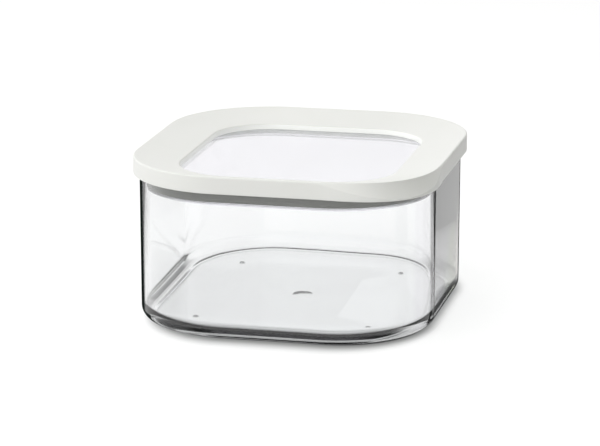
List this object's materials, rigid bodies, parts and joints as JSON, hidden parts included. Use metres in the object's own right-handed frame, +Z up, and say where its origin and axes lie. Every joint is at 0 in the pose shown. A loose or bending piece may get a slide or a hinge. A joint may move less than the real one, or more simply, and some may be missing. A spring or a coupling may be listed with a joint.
{
  "type": "cookie box with lift-off lid",
  "caption": "Clear plastic food box with large rounded corners, and a lift-off white lid frame that holds a clear window tray, a sealing ring and a corner grip lip.",
  "frame": {"origin": "middle of the plan, on the surface that the four feet stand on", "axes": "+Z up, the way the lid lifts off; -Y towards the long front, with the grip lip at the front right (+X, -Y) corner; +X to the right"},
  "size_m": [0.1756, 0.1906, 0.0931],
  "materials": {
    "clear_body": "polished, clear",
    "white_frame": "satin, opaque",
    "clear_window": "polished, clear",
    "grey_seal": "smooth, translucent grey"
  },
  "bodies": {
    "container": {"container": "clear_body"},
    "lid": {"lid_frame": "white_frame", "lid_window": "clear_window", "sealing_ring": "grey_seal"}
  },
  "joints": [
    {"name": "lid_lift", "type": "slide", "parent": "container", "child": "lid", "axis": [0, 0, 1], "range_m": [0, 0.08]}
  ]
}
